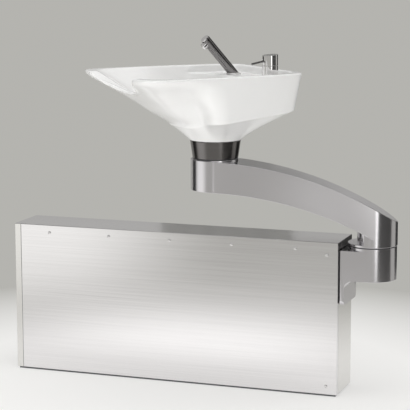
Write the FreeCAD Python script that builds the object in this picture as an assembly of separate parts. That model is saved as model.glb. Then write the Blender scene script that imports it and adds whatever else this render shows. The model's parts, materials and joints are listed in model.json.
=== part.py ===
import FreeCAD, Part
import math
import os

from FreeCAD import Vector

# Backwash unit: a ceramic basin on a swing arm at the end of a low floor cabinet.
# Millimetres, +Z up, +Y towards the back, +X along the cabinet towards its arm.
# The origin is on the floor, at the centre of the cabinet's base plate.

# Cabinet
CABINET_LENGTH = 1055.0
CABINET_DEPTH = 158.0
CABINET_HEIGHT = 470.0
FLOOR_GAP = 6.0
SHEET = 1.5
SEAM = 0.8
RETURN_WIDTH = 20.0
FLANGE_DEPTH = 12.0
BASE_THICKNESS = 12.0
BASE_INSET = 5.0
POST_WIDTH = 40.0
POST_WALL = 4.0
RAIL_WIDTH = 30.0
RAIL_WALL = 3.0
ANCHOR_SPACING_X = 860.0
ANCHOR_SPACING_Y = 90.0
ANCHOR_RADIUS = 5.5

# Panel screws
SCREW_COUNT = 5
SCREW_PITCH = 201.0
SCREW_ROW_SHIFT = -6.0
SCREW_DROP = 24.0
SCREW_COLUMN_INSET = 34.0
SCREW_COLUMN_DROP = 38.0
SCREW_COLUMN_RISE = 31.0
SCREW_HEAD_RADIUS = 4.5
SCREW_HEAD_HEIGHT = 2.6
SCREW_HEAD_ROUND = 1.4
SCREW_SHANK_RADIUS = 2.5
SCREW_GRIP = 3.0

# Plumbing inside the cabinet
PLUMBING_X = 250.0
CUTOUT_LENGTH = 300.0
CUTOUT_DEPTH = 84.0
INLET_SPACING = 180.0
CARRIER_HEIGHT = 78.0
CARRIER_SHEET = 3.0
CARRIER_DEPTH = 60.0
CARRIER_FOOT = 24.0
STUB_START = 15.0
STUB_ABOVE = 50.0
STUB_FLANGE = 6.0
STUB_FLANGE_LIP = 6.0
DRAIN_RADIUS = 20.0
INLET_RADIUS = 10.5
HOSE_BEND = 24.0
HOSE_SIDESTEP = 120.0
HOSE_INSERT = 20.0

# Bracket on the cabinet's right end
GASKET_THICKNESS = 4.0
GASKET_INSET = 4.0
PLATE_THICKNESS = 12.5
BRACKET_DROP = 24.0
PLATE_HEIGHT = 166.0
PLATE_ROUND = 14.0
BOSS_HEIGHT = 91.0
BOSS_RISE = 9.0
BOSS_RADIUS = 72.5
BOSS_OFFSET = 84.5
BRACKET_FILLET = 22.0
BRACKET_FLOOR = 7.0
PASSAGE_RADIUS = 28.0
PASSAGE_DROP = 48.0
BOLT_RADIUS = 5.0
BOLT_HEAD_RADIUS = 8.0
BOLT_HEAD_HEIGHT = 9.0
BOLT_DEPTH = 10.0
BOLT_SPREAD_Y = 108.0
BOLT_INSET_Z = 24.0

# Pivot
PIVOT_RADIUS = 32.0
PIVOT_WALL = 5.0
BUSH_WALL = 6.0
BUSH_FLANGE = 3.0
BUSH_FLANGE_LIP = 5.0
HUB_BOSS_HEIGHT = 39.0
HUB_BOSS_WALL = 8.0
PIVOT_NUT_HEIGHT = 10.0
PIVOT_NUT_LIP = 9.0
WASHER_THICKNESS = 2.5
WASHER_INSET = 4.0

# Swing arm
ARM_LENGTH = 467.5
ARM_SWING = 18.0
ARM_RADIUS = 74.0
CROWN_PAST_HUB = 70.0
ARM_HUB_HEIGHT = 115.2
ARM_RISE = 142.0
ARM_THICKNESS = 92.0
ARM_WALL = 7.0
COVER_SHEET = 3.0
COVER_RECESS = 1.0
COVER_SCREW_COUNT = 4
COVER_SCREW_START = 118.0
COVER_SCREW_RADIUS = 4.0
COVER_SHANK_RADIUS = 2.0
LANDING_RADIUS = 69.0
LANDING_RISE = 1.0
WASTE_HOSE_RADIUS = 14.0
WASTE_HOSE_BEND = 36.0
HOSE_LIFT = 9.0
SUPPLY_HOSE_RADIUS = 5.0
HOSE_SPREAD = 20.0

# Swivel and collar
SPINDLE_RADIUS = 36.0
SPINDLE_WALL = 8.0
SWIVEL_BOSS_HEIGHT = 36.0
SPINDLE_NUT_HEIGHT = 11.0
SPINDLE_NUT_LIP = 10.0
SLIP_RING_THICKNESS = 2.4
SLIP_RING_RADIUS = 66.0
COLLAR_HEIGHT = 52.0
COLLAR_BOTTOM_RADIUS = 68.0
COLLAR_TOP_RADIUS = 75.5
COLLAR_WALL = 5.0
SUPPORT_THICKNESS = 8.0
BASIN_GASKET = 2.0
BASIN_GASKET_WIDTH = 20.0

# Ceramic basin, drawn with +X from the neck notch to the tap deck
BASIN_TURN = 47.0
BASIN_HEIGHT = 204.0
FOOT_RADIUS = 77.0
RIM_CENTRE = -71.0
RIM_HALF_LENGTH = 266.0
RIM_HALF_WIDTH = 236.0
RIM_POWER = 7.5
RIM_TAPER = 0.05
SKIRT_LEAN = 24.0
CREASE_RISE = 78.0
CREASE_SLOPE = 0.1
UNDER_FLARE = 1.2
APRON_STARTS = 90.0
APRON_FULL = 128.0
APRON_FLARE = 1.12
LIP_HEIGHT = 14.0
VALLEY_ANGLE = 128.0
VALLEY_WIDTH = 14.0
VALLEY_DEPTH = 0.15
RIM_WALL = 16.0
BOWL_FLOOR_RISE = 32.0
BOWL_FLOOR_RADIUS = 42.0
BOWL_POWER = 4.5
BOWL_BACK = 84.0
BOWL_SIDE_CURVE = 0.28
BOWL_APRON_CURVE = 0.75
BOWL_APRON_STARTS = 75.0
BOWL_APRON_FULL = 125.0
BOWL_VALLEY_ANGLE = 116.0
BOWL_VALLEY_WIDTH = 22.0
BOWL_VALLEY_DEPTH = 0.2
NOTCH_DEPTH = 55.0
NOTCH_WIDTH = 296.0
DECK_DROP = 24.0
DECK_THICKNESS = 12.0
DECK_LEDGE = 9.0
DECK_OVERLAP = 60.0
DECK_CAVITY_WIDTH = 300.0
DECK_CAVITY_DEPTH = 62.0
DECK_CAVITY_HEIGHT = 66.0
FOOT_RECESS_RADIUS = 53.0
FOOT_RECESS_HEIGHT = 20.0
OUTLINE_POINTS = 72
SKIRT_LEVELS = (1.0, 1.2, 1.4, 1.6, 1.75, 1.87, 1.94, 2.0)
UNDER_LEVELS = (0.0, 0.25, 0.5, 0.75, 1.0)
BOWL_LEVELS = (0.0, 0.004, 0.014, 0.035, 0.07, 0.13, 0.21, 0.31, 0.42, 0.54, 0.66, 0.78, 0.9, 1.02)

# Waste fitting and strainer
DRAIN_HOLE_RADIUS = 23.0
WASTE_FLANGE_RADIUS = 35.0
WASTE_FLANGE = 3.0
WASTE_RADIUS = 20.0
WASTE_WALL = 2.5
WASTE_LENGTH = 100.0
WASTE_NUT_HEIGHT = 8.0
WASTE_NUT_LIP = 11.0
WASTE_GASKET = 2.0
STRAINER_DISC = 2.0
STRAINER_STEM = 14.0
STRAINER_KNOB_RADIUS = 5.0
STRAINER_KNOB_HEIGHT = 6.0
STRAINER_HOLES = 12
STRAINER_HOLE_RADIUS = 2.2
STRAINER_HOLE_CIRCLE = 11.5

# Mixer on the tap deck
TAP_SETBACK = 120.0
MIXER_ACROSS = -114.0
MIXER_RADIUS = 23.2
MIXER_BASE_HEIGHT = 41.0
MIXER_HEAD_HEIGHT = 31.0
MIXER_FLANGE_RADIUS = 24.2
MIXER_FLANGE = 3.0
MIXER_SHANK_RADIUS = 10.0
MIXER_SHANK_LENGTH = 40.0
MIXER_SPIGOT_RADIUS = 16.0
MIXER_SPIGOT_HEIGHT = 8.0
MIXER_CAP = 5.0
MIXER_TOP_SLANT = 4.0
TAP_NUT_HEIGHT = 9.0
TAP_NUT_LIP = 7.0
LEVER_RADIUS = 3.0
LEVER_REACH = 62.0
LEVER_DROOP = 10.0
LEVER_LIFT = 20.0
LEVER_BALL_RADIUS = 7.0
LEVER_HEIGHT = 17.0
LEVER_PIN_RADIUS = 2.0

# Hand shower and its holder on the tap deck
SHOWER_ACROSS = 108.0
SHOWER_LEAN = 42.0
SHOWER_RADIUS = 14.0
SHOWER_WALL = 3.0
SHOWER_LENGTH = 150.0
SHOWER_SEAT = 8.0
SHOWER_CAP = 5.0
SHOWER_CAP_INSET = 1.0
NOZZLE_RADIUS = 10.5
NOZZLE_LENGTH = 22.0
NOZZLE_FROM_TIP = 17.0
HOLDER_RADIUS = 17.0
HOLDER_RISE = 26.0
HOLDER_SHANK = 26.0
HOLDER_HEIGHT = 5.0
SHOWER_HOSE_RADIUS = 6.0
SHOWER_HOSE_DROP = 58.0
SHOWER_HOSE_BEND = 12.0

# Clearances
RUNNING = 0.05
SNUG = 0.03
APART = 0.3
SCREW_PLAY = 0.2
OVERCUT = 40.0

# Places worked out from the sizes above
HALF_LENGTH = CABINET_LENGTH / 2
HALF_DEPTH = CABINET_DEPTH / 2
PANEL_TOP = CABINET_HEIGHT - SHEET
INNER_Y = HALF_DEPTH - SHEET
INNER_X = HALF_LENGTH - SHEET
BRACKET_TOP = CABINET_HEIGHT - BRACKET_DROP
PLATE_BOTTOM = BRACKET_TOP - PLATE_HEIGHT
PLATE_X = HALF_LENGTH + GASKET_THICKNESS
BOSS_X = HALF_LENGTH + BOSS_OFFSET
BOSS_BOTTOM = BRACKET_TOP - BOSS_HEIGHT
BOSS_TOP = BRACKET_TOP + BOSS_RISE
PASSAGE_Z = BRACKET_TOP - PASSAGE_DROP
BOLT_HEIGHTS = (PLATE_BOTTOM + BOLT_INSET_Z, BRACKET_TOP - BOLT_INSET_Z)
HUB_BOTTOM = BOSS_TOP + WASHER_THICKNESS + APART
HUB_BOSS_TOP = HUB_BOTTOM + HUB_BOSS_HEIGHT
PIVOT_NUT_BOTTOM = HUB_BOSS_TOP + BUSH_FLANGE + APART
PIVOT_TOP = PIVOT_NUT_BOTTOM + PIVOT_NUT_HEIGHT
CROWN = ARM_LENGTH + CROWN_PAST_HUB
ARM_TOP_AT_PIVOT = HUB_BOTTOM + ARM_HUB_HEIGHT
ARM_TOP_AT_CROWN = ARM_TOP_AT_PIVOT + ARM_RISE
LANDING_TOP = ARM_TOP_AT_CROWN + LANDING_RISE
SWIVEL_BOSS_BOTTOM = LANDING_TOP - SWIVEL_BOSS_HEIGHT
SLIP_RING_TOP = LANDING_TOP + SLIP_RING_THICKNESS
COLLAR_BOTTOM = SLIP_RING_TOP + APART
COLLAR_TOP = COLLAR_BOTTOM + COLLAR_HEIGHT
SUPPORT_TOP = COLLAR_TOP - BASIN_GASKET / 2
SUPPORT_BOTTOM = SUPPORT_TOP - SUPPORT_THICKNESS
FOOT = SUPPORT_TOP + BASIN_GASKET
SPINDLE_NUT_TOP = SWIVEL_BOSS_BOTTOM - BUSH_FLANGE - APART
SPINDLE_BOTTOM = SPINDLE_NUT_TOP - SPINDLE_NUT_HEIGHT
RIM = FOOT + BASIN_HEIGHT
BOWL_FLOOR = FOOT + BOWL_FLOOR_RISE
DECK = RIM - DECK_DROP
DECK_UNDER = DECK - DECK_THICKNESS
FLOOR_UNDER = FOOT + FOOT_RECESS_HEIGHT
MIXER_TOP = DECK + MIXER_BASE_HEIGHT + MIXER_HEAD_HEIGHT
LEVER_Z = DECK + MIXER_BASE_HEIGHT + LEVER_HEIGHT
WASTE_BOTTOM = BOWL_FLOOR + WASTE_FLANGE - WASTE_LENGTH
CARRIER_TOP = BASE_THICKNESS + CARRIER_HEIGHT
CARRIER_UNDER = CARRIER_TOP - CARRIER_SHEET
STUB_TOP = CARRIER_UNDER + STUB_ABOVE
HOSE_MEETING = PASSAGE_Z + PASSAGE_RADIUS
UP = Vector(0, 0, 1)

# Pipe ends on the carrier: place along the cabinet, pipe radius, hose radius
PIPE_ENDS = {
    "drain": (PLUMBING_X, DRAIN_RADIUS, WASTE_HOSE_RADIUS),
    "hot": (PLUMBING_X - INLET_SPACING / 2, INLET_RADIUS, SUPPLY_HOSE_RADIUS),
    "cold": (PLUMBING_X + INLET_SPACING / 2, INLET_RADIUS, SUPPLY_HOSE_RADIUS),
}


def block(x_low, x_high, y_low, y_high, z_low, z_high):
    corner = Vector(x_low, y_low, z_low)
    return Part.makeBox(x_high - x_low, y_high - y_low, z_high - z_low, corner)


def rod(radius, start, direction, length):
    return Part.makeCylinder(radius, length, start, direction)


def column(radius, z_low, z_high, x=0.0, y=0.0):
    return rod(radius, Vector(x, y, z_low), UP, z_high - z_low)


def ring(inner, outer, z_low, z_high, x=0.0, y=0.0):
    return column(outer, z_low, z_high, x, y).cut(column(inner, z_low, z_high, x, y))


def polygon_face(points):
    return Part.Face(Part.makePolygon(points + points[:1]))


def rounded_path(points, radius):
    """Straight runs joined by tangent arcs of one radius."""
    edges = []
    start = points[0]
    for before, corner, after in zip(points, points[1:], points[2:]):
        back = (before - corner).normalize()
        ahead = (after - corner).normalize()
        half_angle = back.getAngle(ahead) / 2
        run = radius / math.tan(half_angle)
        middle = (back + ahead).normalize() * (radius / math.sin(half_angle) - radius)
        edges.append(Part.LineSegment(start, corner + back * run).toShape())
        edges.append(Part.Arc(corner + back * run, corner + middle, corner + ahead * run).toShape())
        start = corner + ahead * run
    edges.append(Part.LineSegment(start, points[-1]).toShape())
    return Part.Wire(edges)


def hose(points, bend, radius):
    path = rounded_path(points, bend)
    section = Part.Wire(Part.makeCircle(radius, points[0], points[1] - points[0]))
    return path.makePipeShell([section], True, False)


def square_tube(x_low, x_high, y_low, y_high, z_low, z_high, wall, along):
    """A box tube, open at both ends of the named axis."""
    grow = {axis: OVERCUT if axis == along else -wall for axis in "xyz"}
    inside = block(
        x_low - grow["x"], x_high + grow["x"],
        y_low - grow["y"], y_high + grow["y"],
        z_low - grow["z"], z_high + grow["z"],
    )
    return block(x_low, x_high, y_low, y_high, z_low, z_high).cut(inside)


# Cabinet frame

def base_plate():
    reach_x = HALF_LENGTH - BASE_INSET
    reach_y = HALF_DEPTH - BASE_INSET
    plate = block(-reach_x, reach_x, -reach_y, reach_y, 0, BASE_THICKNESS)
    cutout = block(
        PLUMBING_X - CUTOUT_LENGTH / 2, PLUMBING_X + CUTOUT_LENGTH / 2,
        -CUTOUT_DEPTH / 2, CUTOUT_DEPTH / 2, -OVERCUT, OVERCUT,
    )
    plate = plate.cut(cutout)
    for side_x in (-1, 1):
        for side_y in (-1, 1):
            x = side_x * ANCHOR_SPACING_X / 2
            y = side_y * ANCHOR_SPACING_Y / 2
            plate = plate.cut(column(ANCHOR_RADIUS, -OVERCUT, OVERCUT, x, y))
    return plate


def panel_screw_spots():
    """Front screws: a row below the top edge and a column at the right edge, as (x, z)."""
    first = SCREW_ROW_SHIFT - SCREW_PITCH * (SCREW_COUNT - 1) / 2
    row_z = CABINET_HEIGHT - SCREW_DROP
    spots = [(first + SCREW_PITCH * index, row_z) for index in range(SCREW_COUNT)]
    column_x = HALF_LENGTH - SCREW_COLUMN_INSET
    spots.append((column_x, CABINET_HEIGHT - SCREW_COLUMN_DROP))
    spots.append((column_x, SCREW_COLUMN_RISE))
    return spots


def drill_panel_screws(shape, side, radius):
    """Screw holes through whatever lies behind one long side: -1 the front, 1 the back."""
    start_y = side * (HALF_DEPTH + OVERCUT)
    length = OVERCUT + SHEET + POST_WALL
    for x, z in panel_screw_spots():
        shape = shape.cut(rod(radius, Vector(x, start_y, z), Vector(0, -side, 0), length))
    return shape


def bolt_spots():
    return [(side * BOLT_SPREAD_Y / 2, z) for side in (-1, 1) for z in BOLT_HEIGHTS]


def drill_bolts(shape, x_low, x_high, radius):
    for y, z in bolt_spots():
        shape = shape.cut(rod(radius, Vector(x_low, y, z), Vector(1, 0, 0), x_high - x_low))
    return shape


def frame_posts():
    posts = []
    for side_x in (-1, 1):
        for side_y in (-1, 1):
            x_edges = sorted((side_x * INNER_X, side_x * (INNER_X - POST_WIDTH)))
            y_edges = sorted((side_y * INNER_Y, side_y * (INNER_Y - POST_WIDTH)))
            post = square_tube(*x_edges, *y_edges, BASE_THICKNESS, PANEL_TOP, POST_WALL, "z")
            post = drill_panel_screws(post, side_y, SCREW_SHANK_RADIUS + SNUG)
            if side_x > 0:
                post = drill_bolts(post, INNER_X - POST_WIDTH, INNER_X, BOLT_RADIUS + SCREW_PLAY)
            posts.append(post)
    return Part.makeCompound(posts)


def top_rails():
    reach = INNER_X - POST_WIDTH
    rails = []
    for side_y in (-1, 1):
        y_edges = sorted((side_y * INNER_Y, side_y * (INNER_Y - RAIL_WIDTH)))
        rail = square_tube(-reach, reach, *y_edges, PANEL_TOP - RAIL_WIDTH, PANEL_TOP, RAIL_WALL, "x")
        rails.append(drill_panel_screws(rail, side_y, SCREW_SHANK_RADIUS + SNUG))
    return Part.makeCompound(rails)


# Cabinet panels

def top_cover():
    return block(-HALF_LENGTH, HALF_LENGTH, -HALF_DEPTH, HALF_DEPTH, PANEL_TOP, CABINET_HEIGHT)


def front_panel():
    left = -HALF_LENGTH + RETURN_WIDTH + SEAM
    sheet = block(left, HALF_LENGTH, -HALF_DEPTH, -INNER_Y, FLOOR_GAP, PANEL_TOP)
    flange_back = -HALF_DEPTH + FLANGE_DEPTH
    flange = block(INNER_X, HALF_LENGTH, -INNER_Y, flange_back, FLOOR_GAP, PANEL_TOP)
    panel = sheet.fuse(flange).removeSplitter()
    return drill_panel_screws(panel, -1, SCREW_SHANK_RADIUS + SCREW_PLAY)


def left_end_panel():
    outer = block(
        -HALF_LENGTH, -HALF_LENGTH + RETURN_WIDTH, -HALF_DEPTH, HALF_DEPTH, FLOOR_GAP, PANEL_TOP,
    )
    inner = block(-INNER_X, OVERCUT, -INNER_Y, INNER_Y, -OVERCUT, CABINET_HEIGHT + OVERCUT)
    return outer.cut(inner)


def right_end_panel():
    front = -HALF_DEPTH + FLANGE_DEPTH + SEAM
    outer = block(HALF_LENGTH - RETURN_WIDTH, HALF_LENGTH, front, HALF_DEPTH, FLOOR_GAP, PANEL_TOP)
    inner = block(-OVERCUT, INNER_X, front - OVERCUT, INNER_Y, -OVERCUT, CABINET_HEIGHT + OVERCUT)
    panel = outer.cut(inner)
    panel = drill_bolts(panel, INNER_X - OVERCUT, HALF_LENGTH + OVERCUT, BOLT_RADIUS + SCREW_PLAY)
    return panel.cut(passage(INNER_X, HALF_LENGTH))


def rear_panel():
    reach = HALF_LENGTH - RETURN_WIDTH - SEAM
    sheet = block(-reach, reach, INNER_Y, HALF_DEPTH, FLOOR_GAP, PANEL_TOP)
    return drill_panel_screws(sheet, 1, SCREW_SHANK_RADIUS + SCREW_PLAY)


def panel_screw(x, z, side):
    outward = Vector(0, side, 0)
    face = Vector(x, side * HALF_DEPTH, z)
    head = rod(SCREW_HEAD_RADIUS, face, outward, SCREW_HEAD_HEIGHT)
    half_way = HALF_DEPTH + SCREW_HEAD_HEIGHT / 2
    crown = [edge for edge in head.Edges
             if abs(edge.CenterOfMass.y) > half_way and len(edge.Vertexes) == 1]
    head = head.makeFillet(SCREW_HEAD_ROUND, crown)
    shank = rod(SCREW_SHANK_RADIUS, face, outward * -1, SHEET + SCREW_GRIP)
    return head.fuse(shank)


def panel_screws():
    screws = [panel_screw(x, z, side) for side in (-1, 1) for x, z in panel_screw_spots()]
    return Part.makeCompound(screws)


# Plumbing inside the cabinet

def pipe_carrier():
    """Hat-shaped strip that stands over the floor cut-out and holds the pipe ends."""
    half = CUTOUT_LENGTH / 2 + CARRIER_SHEET
    low = BASE_THICKNESS
    high = CARRIER_TOP
    half_depth = CARRIER_DEPTH / 2

    def strip(x_low, x_high, z_low, z_high):
        return block(PLUMBING_X + x_low, PLUMBING_X + x_high, -half_depth, half_depth, z_low, z_high)

    carrier = strip(-half, half, CARRIER_UNDER, high)
    for side in (-1, 1):
        leg = sorted((side * half, side * (half - CARRIER_SHEET)))
        foot = sorted((side * (half - CARRIER_SHEET), side * (half + CARRIER_FOOT)))
        carrier = carrier.fuse([strip(*leg, low, high), strip(*foot, low, low + CARRIER_SHEET)])
    for x, radius, _ in PIPE_ENDS.values():
        carrier = carrier.cut(column(radius + SNUG, low, high + OVERCUT, x))
    return carrier.removeSplitter()


def pipe_stub(name):
    """A pipe end with a flange that seats against the carrier's underside."""
    x, radius, hose_radius = PIPE_ENDS[name]
    pipe = column(radius, STUB_START, STUB_TOP, x)
    flange = column(radius + STUB_FLANGE_LIP, CARRIER_UNDER - STUB_FLANGE, CARRIER_UNDER, x)
    return pipe.fuse(flange).cut(column(hose_radius + SNUG, 0, STUB_TOP + OVERCUT, x))


def cabinet_hose(name, across):
    """From the pivot post, through the passage, along the cabinet and down into a pipe end."""
    x, _, radius = PIPE_ENDS[name]
    sidestep = [Vector(x, 0, PASSAGE_Z - HOSE_SIDESTEP)] if across else []
    points = [
        Vector(BOSS_X, across, HOSE_MEETING - APART),
        Vector(BOSS_X, across, PASSAGE_Z),
        Vector(x, across, PASSAGE_Z),
        *sidestep,
        Vector(x, 0, STUB_TOP - HOSE_INSERT),
    ]
    return hose(points, HOSE_BEND, radius)


def drain_hose():
    return cabinet_hose("drain", 0)


def cabinet_supply_hoses():
    hot = cabinet_hose("hot", HOSE_SPREAD)
    cold = cabinet_hose("cold", -HOSE_SPREAD)
    return Part.makeCompound([hot, cold])


# Bracket and pivot

def passage(x_low, x_high):
    """The hose passage from the cabinet into the bracket."""
    return rod(PASSAGE_RADIUS, Vector(x_low, 0, PASSAGE_Z), Vector(1, 0, 0), x_high - x_low)


def plate_profile(inset, x_low, x_high):
    """Mounting plate seen along X, with its two lower corners rounded."""
    reach = BOSS_RADIUS - inset
    plate = block(x_low, x_high, -reach, reach, PLATE_BOTTOM + inset, BRACKET_TOP - inset)
    corners = [edge for edge in plate.Edges
               if edge.CenterOfMass.z < PLATE_BOTTOM + inset + SNUG
               and abs(edge.CenterOfMass.y) > reach - SNUG]
    return plate.makeFillet(PLATE_ROUND, corners)


def bracket_gasket():
    pad = plate_profile(GASKET_INSET, HALF_LENGTH, PLATE_X)
    pad = drill_bolts(pad, HALF_LENGTH, PLATE_X, BOLT_RADIUS + SCREW_PLAY)
    return pad.cut(passage(HALF_LENGTH, PLATE_X))


def bracket():
    plate_outer = PLATE_X + PLATE_THICKNESS
    body = plate_profile(0, PLATE_X, plate_outer)
    arm = block(PLATE_X, BOSS_X, -BOSS_RADIUS, BOSS_RADIUS, BOSS_BOTTOM, BRACKET_TOP)
    body = body.fuse([arm, column(BOSS_RADIUS, BOSS_BOTTOM, BOSS_TOP, BOSS_X)]).removeSplitter()
    inner_corner = [edge for edge in body.Edges
                    if abs(edge.CenterOfMass.x - plate_outer) < SNUG
                    and abs(edge.CenterOfMass.z - BOSS_BOTTOM) < SNUG]
    body = body.makeFillet(BRACKET_FILLET, inner_corner)
    post_seat = BOSS_BOTTOM + BRACKET_FLOOR
    body = body.cut(column(PIVOT_RADIUS + SNUG, post_seat, BOSS_TOP + OVERCUT, BOSS_X))
    body = body.cut(passage(PLATE_X - OVERCUT, BOSS_X))
    return drill_bolts(body, PLATE_X - OVERCUT, PLATE_X + BOLT_DEPTH, BOLT_RADIUS + SNUG)


def bracket_bolts():
    seat = INNER_X - POST_WIDTH
    inward = Vector(-1, 0, 0)
    length = PLATE_X + BOLT_DEPTH - SNUG - seat
    bolts = []
    for y, z in bolt_spots():
        head = rod(BOLT_HEAD_RADIUS, Vector(seat, y, z), inward, BOLT_HEAD_HEIGHT)
        shank = rod(BOLT_RADIUS, Vector(seat, y, z), inward * -1, length)
        bolts.append(head.fuse(shank))
    return Part.makeCompound(bolts)


def pivot_post():
    bottom = BOSS_BOTTOM + BRACKET_FLOOR
    post = ring(PIVOT_RADIUS - PIVOT_WALL, PIVOT_RADIUS, bottom, PIVOT_TOP, BOSS_X)
    window_radius = PIVOT_RADIUS - PIVOT_WALL
    return post.cut(rod(window_radius, Vector(BOSS_X, 0, PASSAGE_Z), Vector(-1, 0, 0), BOSS_RADIUS))


def thrust_washer():
    outer = BOSS_RADIUS - WASHER_INSET
    return ring(PIVOT_RADIUS + SNUG, outer, BOSS_TOP, HUB_BOTTOM - APART, BOSS_X)


def pivot_nut():
    outer = PIVOT_RADIUS + PIVOT_NUT_LIP
    return ring(PIVOT_RADIUS + SNUG, outer, PIVOT_NUT_BOTTOM, PIVOT_TOP, BOSS_X)


# Swing arm, drawn with +X from the pivot to the swivel

def on_arm(shape):
    placed = shape.copy()
    placed.rotate(Vector(0, 0, 0), UP, 180 + ARM_SWING)
    placed.translate(Vector(BOSS_X, 0, 0))
    return placed


def arm_top(station, drop=0.0):
    """Height of the arched top at a distance from the pivot, lowered by a drop."""
    radius = (CROWN ** 2 + ARM_RISE ** 2) / (2 * ARM_RISE)
    return ARM_TOP_AT_CROWN - radius + math.sqrt(radius ** 2 - (CROWN - station) ** 2) - drop


def below_arch(drop, bottom):
    """Everything under the arm's arch, lowered by a drop, down to a flat bottom."""
    low = -ARM_RADIUS - OVERCUT
    high = ARM_LENGTH + ARM_RADIUS + OVERCUT
    across = ARM_RADIUS + OVERCUT

    def on_arch(station):
        return Vector(station, -across, arm_top(station, drop))

    arch = Part.Arc(on_arch(low), on_arch((low + high) / 2), on_arch(high)).toShape()
    floor = Part.makePolygon([
        on_arch(high), Vector(high, -across, bottom), Vector(low, -across, bottom), on_arch(low),
    ])
    profile = Part.Face(Part.Wire([arch] + floor.Edges))
    return profile.extrude(Vector(0, 2 * across, 0))


def arm_plan(inset, z_low, z_high):
    """Long rounded plan of the arm as a prism."""
    radius = ARM_RADIUS - inset
    bar = block(0, ARM_LENGTH, -radius, radius, z_low, z_high)
    return bar.fuse([column(radius, z_low, z_high), column(radius, z_low, z_high, ARM_LENGTH)])


def arm_casting():
    roof = ARM_TOP_AT_CROWN + OVERCUT
    below = HUB_BOTTOM - OVERCUT
    body = arm_plan(0, HUB_BOTTOM, roof).common(below_arch(0, below))
    body = body.cut(below_arch(ARM_THICKNESS, below).cut(column(ARM_RADIUS, below, roof)))
    landing = column(LANDING_RADIUS, SWIVEL_BOSS_BOTTOM, LANDING_TOP, ARM_LENGTH)
    body = body.fuse(landing).removeSplitter()
    hollow = arm_plan(ARM_WALL, below, roof).common(below_arch(ARM_WALL, below))
    hub_boss = column(PIVOT_RADIUS + BUSH_WALL + HUB_BOSS_WALL, below, HUB_BOSS_TOP)
    hub_floor = column(ARM_RADIUS, below, HUB_BOTTOM + ARM_WALL)
    boss_radius = SPINDLE_RADIUS + BUSH_WALL + HUB_BOSS_WALL
    swivel_boss = column(boss_radius, SWIVEL_BOSS_BOTTOM, roof, ARM_LENGTH)
    body = body.cut(hollow.cut([hub_boss, hub_floor, swivel_boss]))
    body = body.cut(column(PIVOT_RADIUS + BUSH_WALL + SNUG, below, HUB_BOSS_TOP + OVERCUT))
    return body.cut(column(SPINDLE_RADIUS + BUSH_WALL + SNUG, SWIVEL_BOSS_BOTTOM, roof, ARM_LENGTH))


def cover_screw_seats():
    """Screw seats on the cover's outside with their outward directions."""
    pitch = (ARM_LENGTH - COVER_SCREW_START) / (COVER_SCREW_COUNT - 1)
    across = (ARM_RADIUS - ARM_WALL) / 2
    seats = []
    for index in range(COVER_SCREW_COUNT):
        station = COVER_SCREW_START + pitch * index
        height = arm_top(station, ARM_THICKNESS - COVER_RECESS)
        slope = (arm_top(station + COVER_RECESS) - arm_top(station - COVER_RECESS)) / (2 * COVER_RECESS)
        outward = Vector(slope, 0, -1).normalize()
        for side in (-1, 1):
            seats.append((Vector(station, side * across, height), outward))
    return seats


def arm_bottom_cover():
    below = HUB_BOTTOM - OVERCUT
    roof = ARM_TOP_AT_CROWN
    under = ARM_THICKNESS - COVER_RECESS
    strip = below_arch(under - COVER_SHEET, below).cut(below_arch(under, below - OVERCUT))
    cover = arm_plan(ARM_WALL + SNUG, below, roof).common(strip)
    cover = cover.cut(column(ARM_RADIUS + SNUG, below - OVERCUT, roof))
    for seat, outward in cover_screw_seats():
        hole_start = seat + outward * COVER_SHEET
        cover = cover.cut(rod(COVER_SHANK_RADIUS + SNUG, hole_start, outward * -1, 3 * COVER_SHEET))
    return cover


def arm_cover_screws():
    """Flat heads against the cover's outside, with shanks through it."""
    screws = []
    for seat, outward in cover_screw_seats():
        head = rod(COVER_SCREW_RADIUS, seat + outward * SNUG, outward, COVER_RECESS)
        shank = rod(COVER_SHANK_RADIUS, seat + outward * SNUG, outward * -1, COVER_SHEET)
        screws.append(head.fuse(shank))
    return Part.makeCompound(screws)


def flanged_bush(radius, seat, direction, length):
    """A plain bush whose flange lies outside its seat."""
    outer = radius + BUSH_WALL
    bush = rod(outer, seat, direction * -1, length)
    bush = bush.fuse(rod(outer + BUSH_FLANGE_LIP, seat, direction, BUSH_FLANGE))
    start = seat + direction * OVERCUT
    return bush.cut(rod(radius + RUNNING, start, direction * -1, length + OVERCUT * 2))


def pivot_bush():
    return flanged_bush(PIVOT_RADIUS, Vector(0, 0, HUB_BOSS_TOP), UP, HUB_BOSS_HEIGHT)


def swivel_bush():
    seat = Vector(ARM_LENGTH, 0, SWIVEL_BOSS_BOTTOM)
    return flanged_bush(SPINDLE_RADIUS, seat, UP * -1, SWIVEL_BOSS_HEIGHT)


def slip_ring():
    return ring(SPINDLE_RADIUS + APART, SLIP_RING_RADIUS, LANDING_TOP, SLIP_RING_TOP, ARM_LENGTH)


def arm_hose(across, radius):
    """Down from the basin's waste, along the inside of the arm and down through the pivot."""
    middle = ARM_LENGTH / 2
    clear = ARM_THICKNESS - COVER_RECESS - COVER_SHEET - WASTE_HOSE_RADIUS - HOSE_LIFT
    points = [
        Vector(ARM_LENGTH, across, WASTE_BOTTOM - APART),
        Vector(ARM_LENGTH, across, arm_top(ARM_LENGTH, clear)),
        Vector(middle, across, arm_top(middle, clear - WASTE_HOSE_RADIUS)),
        Vector(0, across, PIVOT_TOP + WASTE_HOSE_RADIUS),
        Vector(0, across, HOSE_MEETING),
    ]
    return hose(points, WASTE_HOSE_BEND, radius)


def waste_hose():
    return arm_hose(0, WASTE_HOSE_RADIUS)


def arm_supply_hoses():
    return Part.makeCompound([arm_hose(side * HOSE_SPREAD, SUPPLY_HOSE_RADIUS) for side in (-1, 1)])


# Swivel, collar and basin, drawn about the swivel axis

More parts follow.
